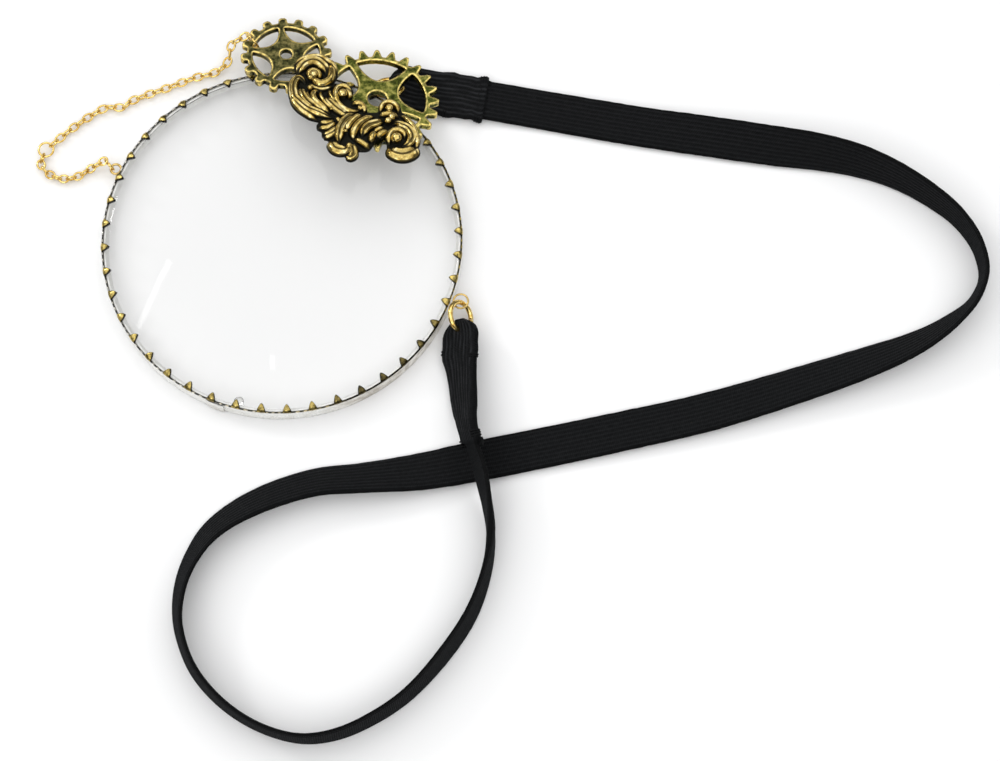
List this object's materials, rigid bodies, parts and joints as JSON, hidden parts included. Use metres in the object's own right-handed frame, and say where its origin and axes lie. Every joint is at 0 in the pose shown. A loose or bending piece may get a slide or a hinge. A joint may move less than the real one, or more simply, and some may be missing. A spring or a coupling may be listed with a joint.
{
  "type": "monocle eyepiece",
  "caption": "Round clear eyepiece in a serrated bezel with gears, a leaf-scroll casting and a fine chain, worn over one eye on an elastic head strap.",
  "frame": {"origin": "on the table, under the middle of the eyepiece with its gears, casting and eyes, without the strap and chain", "axes": "+Z out of the glass's front, away from the face; +Y towards the gears at the top of the rim; +X towards the strap's side"},
  "size_m": [0.1858, 0.1449, 0.0148],
  "materials": {
    "clear_glass": "polished",
    "clear_cement": "clear, cured",
    "bezel_brass": "antiqued",
    "dark_brass": "dark olive patina, rubbed bright on the edges",
    "light_brass": "light patina, rubbed bright on the edges",
    "antique_gold": "antique gold plate with blackened recesses",
    "bright_gold": "bright gold plate",
    "black_elastic": "ribbed braided elastic"
  },
  "bodies": {
    "eyepiece": {"lens": "clear_glass", "serrated_bezel": "bezel_brass", "cement_bead": "clear_cement", "left_gear": "dark_brass", "right_gear": "light_brass", "left_gear_cement": "clear_cement", "right_gear_cement": "clear_cement", "scroll_ornament": "antique_gold", "upper_strap_eye": "bezel_brass", "lower_strap_eye": "bezel_brass", "chain_eye": "bezel_brass"},
    "strap": {"strap_upper_end": "black_elastic", "strap_band": "black_elastic", "strap_lower_end": "black_elastic", "upper_strap_ring": "bright_gold", "lower_strap_ring": "bright_gold"},
    "chain": {"chain_gear_ring": "bright_gold", "chain_bezel_ring": "bright_gold", "chain_joining_ring": "bright_gold", "chain_link_01": "bright_gold", "chain_link_02": "bright_gold", "chain_link_03": "bright_gold", "chain_link_04": "bright_gold", "chain_link_05": "bright_gold", "chain_link_06": "bright_gold", "chain_link_07": "bright_gold", "chain_link_08": "bright_gold", "chain_link_09": "bright_gold", "chain_link_10": "bright_gold", "chain_link_11": "bright_gold", "chain_link_12": "bright_gold", "chain_link_13": "bright_gold", "chain_link_14": "bright_gold", "chain_link_15": "bright_gold", "chain_link_16": "bright_gold", "chain_link_17": "bright_gold", "chain_link_18": "bright_gold", "chain_link_19": "bright_gold", "chain_link_20": "bright_gold", "chain_link_21": "bright_gold", "chain_link_22": "bright_gold", "chain_link_23": "bright_gold", "chain_link_24": "bright_gold", "chain_link_25": "bright_gold", "chain_link_26": "bright_gold", "chain_link_27": "bright_gold", "chain_link_28": "bright_gold", "chain_link_29": "bright_gold", "chain_link_30": "bright_gold", "chain_link_31": "bright_gold", "chain_link_32": "bright_gold", "chain_link_33": "bright_gold", "chain_link_34": "bright_gold", "chain_link_35": "bright_gold", "chain_link_36": "bright_gold", "chain_link_37": "bright_gold", "chain_link_38": "bright_gold", "chain_link_39": "bright_gold", "chain_link_40": "bright_gold"}
  },
  "joints": [
    {"name": "strap_swing", "type": "hinge", "parent": "eyepiece", "child": "strap", "pos_m": [0.03406, -0.01848, 0.0035], "axis": [-0.3658, 0.9303, -0.027], "range_deg": [0, 85]},
    {"name": "chain_swing", "type": "hinge", "parent": "eyepiece", "child": "chain", "pos_m": [-0.03462, 0.0099, 0.0021], "axis": [0.7334, 0.6757, 0.0745], "range_deg": [0, 100]}
  ]
}
